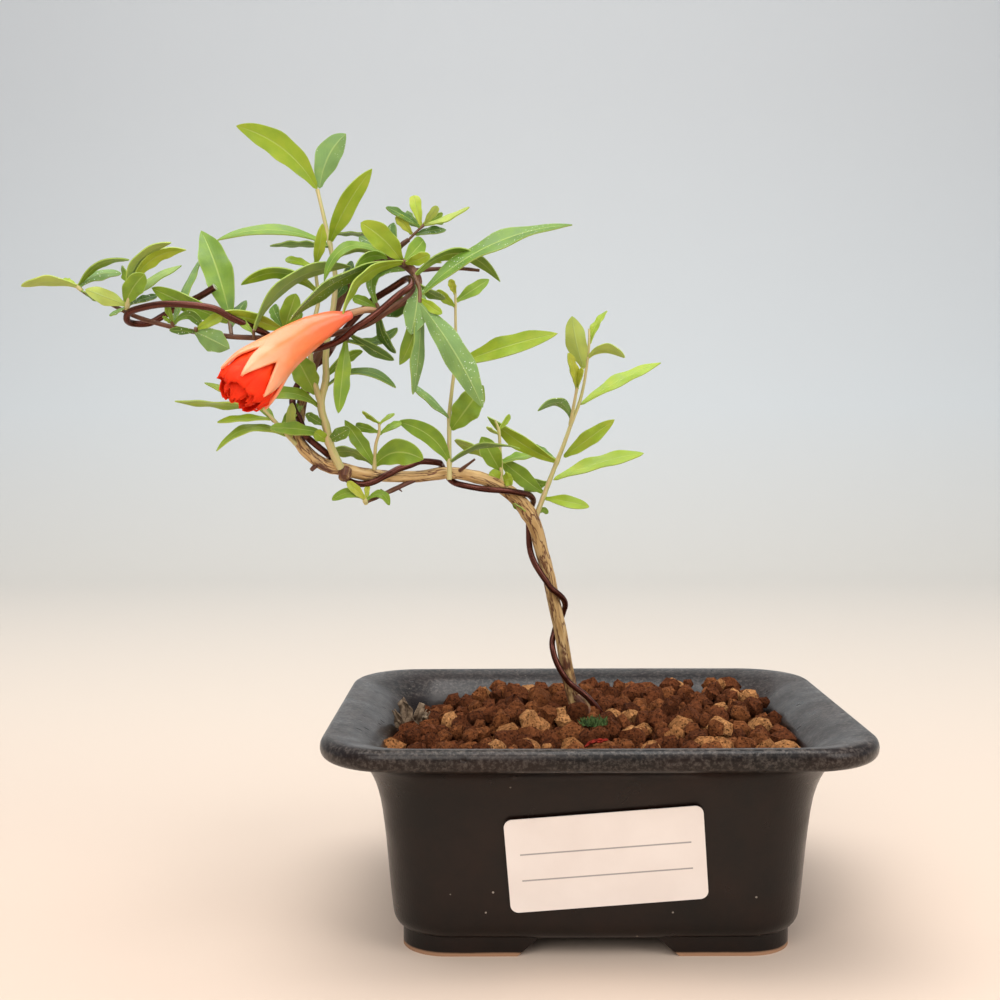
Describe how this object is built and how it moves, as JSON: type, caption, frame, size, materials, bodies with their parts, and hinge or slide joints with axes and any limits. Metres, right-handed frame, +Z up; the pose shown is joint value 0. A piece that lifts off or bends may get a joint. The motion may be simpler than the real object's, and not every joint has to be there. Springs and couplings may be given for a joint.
{
  "type": "pomegranate bonsai",
  "caption": "Small wired pomegranate bonsai with an S-bent trunk, leafy shoots and a drooping orange-red flower, in granular soil in a dark glazed rectangular pot.",
  "frame": {"origin": "on the ground at the middle of the whole object's bounding box; the pot's own middle lies 39.3 mm to the right of it and 4.35 mm behind it", "axes": "+Z up, +X to the plant's right as seen from its front, +Y away from its front; the label's wall faces -Y"},
  "size_m": [0.227, 0.1352, 0.2217],
  "materials": {
    "pot_glaze": "satin",
    "drain_mesh": "matte",
    "soil": "matte",
    "bark": "matte",
    "training_wire": "satin",
    "label": "satin",
    "calyx": "satin",
    "petals": "satin",
    "young_leaf": "satin",
    "mature_leaf": "satin"
  },
  "bodies": {
    "root": {"pot": "pot_glaze", "drain_mesh_left": "drain_mesh", "drain_mesh_right": "drain_mesh", "soil": "soil", "trunk": "bark", "training_wire": "training_wire", "label": "label", "flower_calyx": "calyx", "flower_petals": "petals", "shoot_right_tall": "young_leaf", "shoot_right_low": "young_leaf", "shoot_mid": "young_leaf", "shoot_mid_low": "young_leaf", "shoot_tall": "young_leaf", "shoot_crown_centre": "mature_leaf", "shoot_crown_top": "mature_leaf", "shoot_crown_right": "mature_leaf", "spur_branch_middle": "mature_leaf", "spur_branch_inner": "mature_leaf", "spur_behind_flower": "mature_leaf", "spur_long_leaf": "mature_leaf", "spur_upright": "mature_leaf", "spur_left_middle": "mature_leaf", "spur_left_outer": "mature_leaf", "shoot_tip_up": "young_leaf", "shoot_tip": "young_leaf", "shoot_lower_left": "young_leaf", "shoot_twig_end": "young_leaf"}
  },
  "joints": []
}
